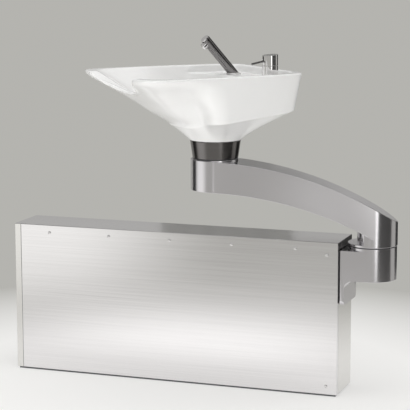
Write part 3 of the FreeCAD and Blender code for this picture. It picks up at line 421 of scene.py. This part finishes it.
def ring(shaped, centre, side, other, radius, steps):
    """A ring of points round a centre, in the plane of two directions."""
    turns = [2 * math.pi * step / steps for step in range(steps)]
    return [
        shaped.verts.new(centre + (side * math.cos(turn) + other * math.sin(turn)) * radius)
        for turn in turns
    ]


def skinned(shaped, rings):
    """Joins rings of points into a closed skin."""
    steps = len(rings[0])
    for lower, upper in zip(rings, rings[1:]):
        for step in range(steps):
            after = (step + 1) % steps
            shaped.faces.new((lower[step], lower[after], upper[after], upper[step]))
    shaped.faces.new(list(reversed(rings[0])))
    shaped.faces.new(rings[-1])


def lathe(shaped, origin, axis, profile, steps):
    """Turns (radius, height) pairs round an axis into a closed skin."""
    side = axis.orthogonal().normalized()
    other = axis.cross(side).normalized()
    skinned(shaped, [
        ring(shaped, origin + axis * height, side, other, radius, steps)
        for radius, height in profile
    ])


def tube_mesh(name, points, radii, steps):
    """A closed tube along a line of points, with no twist between its rings."""
    shaped = bmesh.new()
    side = (points[1] - points[0]).orthogonal().normalized()
    rings = []
    for index, (spot, radius) in enumerate(zip(points, radii)):
        after = points[min(index + 1, len(points) - 1)]
        before = points[max(index - 1, 0)]
        ahead = (after - before).normalized()
        side = (side - ahead * side.dot(ahead)).normalized()
        rings.append(ring(shaped, spot, side, ahead.cross(side), radius, steps))
    skinned(shaped, rings)
    bmesh.ops.recalc_face_normals(shaped, faces=shaped.faces)
    shaped.normal_update()
    mark_smooth(shaped, 50.0)
    return finished(shaped, name)


# Ceramic: the basin with the soft edges that a thick glaze leaves

NOTCH_HALF = 0.148
NOTCH_DEPTH = 0.055
NOTCH_ROUND = (NOTCH_HALF ** 2 + NOTCH_DEPTH ** 2) / (2 * NOTCH_DEPTH)
NOTCH_STARTS = -0.15
LIP_STARTS = -0.20
RIM_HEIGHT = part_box("basin")[1].z
RIM_ROLL = 0.018
GLAZE_LEAST = 0.30
GLAZE_PASSES = 26
GLAZE_VOXEL = 0.0020
GLAZE_KEPT = 0.22
LIP_ANGLE = math.radians(110.0)
BEAD_RADIUS = 0.0056
BEAD_SET_IN = 0.0056
BEAD_DIP = math.radians(17.0)
BEAD_HALF = 0.128
BEAD_TAPER = 0.03
BEAD_END = 0.45
BEAD_STEP = 0.004
BEAD_SIDES = 12


def rim_top(u, v):
    """Height of the rim at a place, lower along the neck notch."""
    if u > NOTCH_STARTS or abs(v) > NOTCH_HALF:
        return RIM_HEIGHT
    return RIM_HEIGHT - NOTCH_DEPTH + NOTCH_ROUND - math.sqrt(NOTCH_ROUND ** 2 - v ** 2)


def softness(spot):
    """How far the glaze softens a place: fully at the lip and the rim, less below."""
    u, v = basin_uv(spot)
    if u < LIP_STARTS and abs(v) < NOTCH_HALF:
        return 1.0
    return min(1.0, max(GLAZE_LEAST, 1.0 - (rim_top(u, v) - spot.z) / RIM_ROLL))


def melt(piece):
    """Softens the basin's mesh by its softness at each place."""
    group = piece.vertex_groups.new(name="glaze")
    for vertex in piece.data.vertices:
        group.add([vertex.index], softness(vertex.co), "REPLACE")
    glaze = piece.modifiers.new("glaze", "SMOOTH")
    glaze.factor = 0.5
    glaze.iterations = GLAZE_PASSES
    glaze.vertex_group = "glaze"
    applied(piece)
    piece.vertex_groups.clear()


def on_lip(spot):
    u, v = basin_uv(spot)
    return u < LIP_STARTS and abs(v) < BEAD_HALF


def lip_bead(shaped):
    """A rolled bead along the neck notch's thin edge, which the glaze melts into the lip."""
    thin = dict.fromkeys(
        vertex
        for edge in shaped.edges
        if len(edge.link_faces) == 2 and edge.calc_face_angle(0.0) > LIP_ANGLE
        for vertex in edge.verts
        if on_lip(vertex.co)
    )
    inwards = ALONG * math.cos(BEAD_DIP) - UP * math.sin(BEAD_DIP)
    line = []
    for vertex in sorted(thin, key=lambda vertex: basin_uv(vertex.co)[1]):
        spot = vertex.co + inwards * BEAD_SET_IN
        if not line or (spot - line[-1]).length > BEAD_STEP:
            line.append(spot)
    sideways = [abs(basin_uv(spot)[1]) for spot in line]
    reach = max(sideways)
    radii = [
        BEAD_RADIUS * min(1.0, BEAD_END + (1.0 - BEAD_END) * (reach - aside) / BEAD_TAPER)
        for aside in sideways
    ]
    return tube_mesh("lip_bead", line, radii, BEAD_SIDES)


def glazed_basin():
    shaped = welded("basin")
    bead = lip_bead(shaped)
    shaped.from_mesh(bead)
    bpy.data.meshes.remove(bead)
    mesh = finished(shaped, "basin_glaze")
    piece = new_piece("basin_glaze", mesh, CERAMIC, "basin")
    skin = piece.modifiers.new("skin", "REMESH")
    skin.mode = "VOXEL"
    skin.voxel_size = GLAZE_VOXEL
    applied(piece)
    melt(piece)
    lighter = piece.modifiers.new("lighter", "DECIMATE")
    lighter.ratio = GLAZE_KEPT
    applied(piece)
    coat(piece, CERAMIC)
    for polygon in piece.data.polygons:
        polygon.use_smooth = True
    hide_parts("basin")


# Panel screws: low domes with a round socket, as (radius, height) from the head's face

SCREW_PROFILE = (
    (0.0024, -0.0060), (0.0024, -0.0026), (0.0050, -0.0026), (0.0050, -0.0022),
    (0.0048, -0.0012), (0.0042, -0.0002), (0.0033, 0.0004), (0.0025, 0.0006),
    (0.0022, 0.0004), (0.0021, -0.0014), (0.0004, -0.0017),
)
SCREW_SIDES = 24


def screw_heads():
    """The face and outward direction of each screw head, from the node's separate solids."""
    shaped = bmesh.new()
    shaped.from_mesh(NODES["panel_screws"].data)
    bmesh.ops.remove_doubles(shaped, verts=shaped.verts, dist=SAME_PLACE)
    left = set(shaped.verts)
    heads = []
    while left:
        solid = [left.pop()]
        for vertex in solid:
            for edge in vertex.link_edges:
                beyond = edge.other_vert(vertex)
                if beyond in left:
                    left.remove(beyond)
                    solid.append(beyond)
        xs, ys, zs = zip(*(vertex.co for vertex in solid))
        front = sum(ys) < 0
        face = min(ys) if front else max(ys)
        outward = -1.0 if front else 1.0
        heads.append(((min(xs) + max(xs)) / 2, face, (min(zs) + max(zs)) / 2, outward))
    shaped.free()
    return sorted(heads)


def domed_screws():
    shaped = bmesh.new()
    for x, face, z, outward in screw_heads():
        axis = Vector((0.0, outward, 0.0))
        lathe(shaped, Vector((x, face, z)), axis, SCREW_PROFILE, SCREW_SIDES)
    bmesh.ops.recalc_face_normals(shaped, faces=shaped.faces)
    shaped.normal_update()
    mark_smooth(shaped, 35.0)
    mesh = finished(shaped, "panel_screws_finish")
    piece = new_piece("panel_screws_finish", mesh, CHROME, "cabinet")
    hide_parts("panel_screws")


# Shower hose: from the hand shower's foot, in a low loop under the deck, to the mixer's shank

HOSE_RADIUS = 0.006
HOSE_SIDES = 14
HOSE_FINENESS = 18
LOOP_HEIGHT = 0.8937
SHANK_END = 0.9117


def down_holder(depth):
    return SHOWER_SEAT + SHOWER_AXIS * depth


HOSE_ROUTE = (
    down_holder(-0.008),
    down_holder(-0.016),
    down_holder(-0.026),
    down_holder(-0.038),
    on_basin(0.1454, 0.084, LOOP_HEIGHT),
    on_basin(TAP_ROW, MIXER_SIDE, LOOP_HEIGHT),
    on_basin(TAP_ROW, MIXER_SIDE, SHANK_END),
)


def spline_points(name, route, fineness):
    """Points read from one smooth spline that has the route's points as its control points."""
    curve = bpy.data.curves.new(name, "CURVE")
    curve.dimensions = "3D"
    curve.resolution_u = fineness
    spline = curve.splines.new("NURBS")
    spline.points.add(len(route) - 1)
    for point, spot in zip(spline.points, route):
        point.co = (*spot, 1.0)
    spline.order_u = 3
    spline.use_endpoint_u = True
    holder = linked(name, curve)
    graph = bpy.context.evaluated_depsgraph_get()
    mesh = bpy.data.meshes.new_from_object(holder.evaluated_get(graph))
    points = [vertex.co.copy() for vertex in mesh.vertices]
    bpy.data.meshes.remove(mesh)
    bpy.data.objects.remove(holder)
    bpy.data.curves.remove(curve)
    return points


def pulled_hose():
    line = spline_points("hose_line", HOSE_ROUTE, HOSE_FINENESS)
    mesh = tube_mesh("shower_hose_braid", line, [HOSE_RADIUS] * len(line), HOSE_SIDES)
    piece = linked("shower_hose_braid", mesh)
    coat(piece, BRAID)
    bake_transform(piece)
    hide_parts("shower_hose")


# Each softened node with the width of its rounds and its shortest rounded edge
EDGE_ROUNDS = (
    ("front_panel", 0.0006, 0.02),
    ("top_cover", 0.0006, 0.02),
    ("left_end_panel", 0.0006, 0.02),
    ("right_end_panel", 0.0006, 0.02),
    ("rear_panel", 0.0006, 0.02),
    ("base_plate", 0.0008, 0.02),
    ("arm_casting", 0.0012, 0.003),
    ("bracket", 0.0012, 0.003),
    ("collar", 0.0010, 0.0005),
    ("mixer_base", 0.0007, 0.0005),
    ("mixer_head", 0.0007, 0.0005),
    ("mixer_lever", 0.0004, 0.0002),
    ("shower_body", 0.0005, 0.0005),
    ("shower_cap", 0.0008, 0.0005),
    ("spray_nozzle", 0.0010, 0.0005),
    ("shower_holder", 0.0006, 0.0005),
    ("strainer", 0.0004, 0.0003),
    ("waste_fitting", 0.0005, 0.0004),
)

for node, width, shortest in EDGE_ROUNDS:
    soften(node, width, shortest)
domed_screws()
glazed_basin()
pulled_hose()


# Stage: a wide plain floor, pale round the object and a quiet grey further off, under soft
# panel lamps, with cards beside the set that only the metal shows

STAND = Vector((0.1, -0.05, 0.0))
LAMP_AIM = 0.6
FLOOR_REACH = 60.0
FLOOR_PALE_TO = 0.75
FLOOR_GREY_FROM = 1.5
FLOOR_COLOURS = ((0.92, 0.915, 0.90), (0.62, 0.615, 0.60))
BACKDROP_COLOURS = ((0.98, 0.975, 0.96), (0.46, 0.455, 0.43))
BACKDROP_SHARES = (0.55, 1.0)
WORLD_COLOUR = (1.0, 0.99, 0.97, 1.0)
WORLD_STRENGTH = 0.44


def flat_mesh(name, corners):
    shaped = bmesh.new()
    shaped.faces.new([shaped.verts.new(corner) for corner in corners])
    return finished(shaped, name)


def floor_material():
    """Pale near the object and grey far off, with a share of even backdrop in what is seen."""
    nodes = Nodes("pale_floor")
    away = nodes.add("ShaderNodeVectorMath", operation="LENGTH")
    nodes.join(nodes.place(), away.inputs[0])
    far = nodes.spread(away.outputs["Value"], 0.0, 1.0, FLOOR_PALE_TO, FLOOR_GREY_FROM)
    floor_colour = nodes.colours(far, *FLOOR_COLOURS, start=0.0, end=1.0)
    nodes.join(floor_colour, nodes.shader.inputs["Base Color"])
    nodes.fix({"Roughness": 0.6, "Specular IOR Level": 0.2})
    path = nodes.add("ShaderNodeLightPath").outputs
    seen = nodes.larger(path["Is Camera Ray"], path["Is Glossy Ray"])
    seen = nodes.larger(seen, path["Is Transmission Ray"])
    share = nodes.add("ShaderNodeMath", operation="MULTIPLY")
    nodes.join(seen, share.inputs[0])
    nodes.join(nodes.spread(far, *BACKDROP_SHARES, start=0.0, end=1.0), share.inputs[1])
    backdrop = nodes.add("ShaderNodeEmission")
    backdrop_colour = nodes.colours(far, *BACKDROP_COLOURS, start=0.0, end=1.0)
    nodes.join(backdrop_colour, backdrop.inputs["Color"])
    mixed = nodes.add("ShaderNodeMixShader")
    nodes.join(share.outputs["Value"], mixed.inputs["Fac"])
    nodes.join(nodes.shader.outputs["BSDF"], mixed.inputs[1])
    nodes.join(backdrop.outputs["Emission"], mixed.inputs[2])
    nodes.join(mixed.outputs["Shader"], nodes.tree.nodes["Material Output"].inputs["Surface"])
    return nodes.material


def stage_floor():
    corners = [
        (x * FLOOR_REACH, y * FLOOR_REACH, 0.0) for x, y in ((-1, -1), (1, -1), (1, 1), (-1, 1))
    ]
    floor = linked("floor", flat_mesh("floor", corners))
    coat(floor, floor_material())


def fading_edges(data, edge):
    """Lets a panel lamp fade to nothing over a share of its size at each edge."""
    data.use_nodes = True
    tree = data.node_tree
    geometry = tree.nodes.new("ShaderNodeNewGeometry")
    parts = tree.nodes.new("ShaderNodeSeparateXYZ")
    tree.links.new(geometry.outputs["Parametric"], parts.inputs["Vector"])
    product = tree.nodes.new("ShaderNodeMath")
    product.operation = "MULTIPLY"
    for index, side in enumerate(("X", "Y")):
        inwards = tree.nodes.new("ShaderNodeMath")
        inwards.operation = "PINGPONG"
        inwards.inputs[1].default_value = 0.5
        tree.links.new(parts.outputs[side], inwards.inputs[0])
        fade = tree.nodes.new("ShaderNodeMapRange")
        fade.interpolation_type = "SMOOTHSTEP"
        fade.inputs["From Max"].default_value = edge
        tree.links.new(inwards.outputs["Value"], fade.inputs["Value"])
        tree.links.new(fade.outputs["Result"], product.inputs[index])
    tree.links.new(product.outputs["Value"], tree.nodes["Emission"].inputs["Strength"])


def soft_light(name, angle, away, height, size, power, mirrored=False, edge=0.0, upward=False):
    """A soft panel lamp at an angle from +X, turned to the object or straight up."""
    place = STAND + level_way(math.radians(angle)) * away + UP * height
    data = bpy.data.lights.new(name, "AREA")
    data.shape = "RECTANGLE"
    data.size, data.size_y = size
    data.energy = power
    if edge:
        fading_edges(data, edge)
    lamp = linked(name, data)
    lamp.location = place
    aim = UP if upward else STAND + UP * LAMP_AIM - place
    lamp.rotation_euler = aim.to_track_quat("-Z", "Y").to_euler()
    lamp.visible_glossy = mirrored
    lamp.visible_camera = False


def dark_card(name, angle, away, size, material, lift=0.02):
    """A card beside the set, which gives the metal its darker bands."""
    width, tall = size
    way = level_way(math.radians(angle))
    across = UP.cross(way) * width / 2
    foot = STAND + way * away + UP * lift
    head = foot + UP * tall
    corners = (foot - across, foot + across, head + across, head - across)
    card = linked(name, flat_mesh(name, corners))
    coat(card, material)
    card.visible_camera = False
    card.visible_diffuse = False
    card.visible_shadow = False


def studio_world():
    world = bpy.data.worlds.new("studio")
    bpy.context.scene.world = world
    world.use_nodes = True
    background = world.node_tree.nodes["Background"]
    background.inputs["Color"].default_value = WORLD_COLOUR
    background.inputs["Strength"].default_value = WORLD_STRENGTH


stage_floor()
studio_world()

soft_light("key", angle=-138, away=1.5, height=0.8, size=(1.9, 1.56), power=4.0)
soft_light(
    "key_gleam", angle=-138, away=1.5, height=0.35, size=(1.9, 1.2), power=4.0,
    mirrored=True, edge=0.4,
)
soft_light(
    "arm_gleam_left", angle=-80, away=3.0, height=0.2, size=(0.42, 0.6), power=0.5,
    mirrored=True, edge=0.5,
)
soft_light(
    "arm_gleam_right", angle=-63, away=3.0, height=0.1, size=(0.36, 0.6), power=0.4,
    mirrored=True, edge=0.5,
)
soft_light(
    "floor_gleam", angle=-107, away=0.62, height=0.004, size=(1.5, 0.9), power=1.15,
    mirrored=True, edge=0.45, upward=True,
)
soft_light("strip", angle=-47, away=2.0, height=1.05, size=(0.36, 2.1), power=3.2, mirrored=True)
soft_light("rear_right", angle=32, away=2.5, height=1.1, size=(1.2, 2.1), power=11.0)
soft_light("front_fill", angle=-72, away=4.6, height=0.6, size=(2.4, 1.0), power=16.0)
soft_light("low_fill", angle=-76, away=1.7, height=0.12, size=(1.8, 0.7), power=11.5)
soft_light("top_fill", angle=-90, away=0.5, height=3.4, size=(2.6, 2.0), power=41.0)

BLACK_CARD = moulded("black_card", (0.03, 0.03, 0.03), roughness=0.8)
CHARCOAL_CARD = moulded("charcoal_card", (0.09, 0.09, 0.087), roughness=0.8)
GREY_CARD = moulded("grey_card", (0.32, 0.32, 0.31), roughness=0.8)
dark_card("card_right", angle=-13, away=1.7, size=(1.7, 2.2), material=CHARCOAL_CARD)
dark_card("card_rear", angle=58, away=1.95, size=(1.3, 2.0), material=BLACK_CARD)
dark_card("card_left", angle=178, away=2.0, size=(1.0, 2.2), material=BLACK_CARD)
dark_card("card_back", angle=107, away=1.9, size=(0.55, 1.15), material=GREY_CARD)
dark_card("card_high", angle=94, away=1.82, size=(0.7, 0.6), material=GREY_CARD, lift=0.89)


# Camera, solved from the cabinet's edges in the photograph

CAMERA_PLACE = Vector((1.8121, -4.8107, 1.3868))
CAMERA_TURN = math.radians(19.78)
CAMERA_DOWN = math.radians(9.32)
CAMERA_ROLL = math.radians(-0.15)
CAMERA_LENS = 148.06
SENSOR_WIDTH = 36.0
CAMERA_SIGHT = 150.0


def photo_camera():
    ahead = Vector((
        -math.sin(CAMERA_TURN) * math.cos(CAMERA_DOWN),
        math.cos(CAMERA_TURN) * math.cos(CAMERA_DOWN),
        -math.sin(CAMERA_DOWN),
    ))
    level = ahead.cross(UP).normalized()
    upright = level.cross(ahead)
    right = level * math.cos(CAMERA_ROLL) + upright * math.sin(CAMERA_ROLL)
    top = upright * math.cos(CAMERA_ROLL) - level * math.sin(CAMERA_ROLL)
    data = bpy.data.cameras.new("photo_camera")
    data.lens = CAMERA_LENS
    data.sensor_width = SENSOR_WIDTH
    data.clip_end = CAMERA_SIGHT
    camera = linked("photo_camera", data)
    facing = Matrix((right, top, -ahead)).transposed().to_4x4()
    camera.matrix_world = Matrix.Translation(CAMERA_PLACE) @ facing
    bpy.context.scene.camera = camera


photo_camera()
bpy.context.scene.view_settings.view_transform = "Standard"
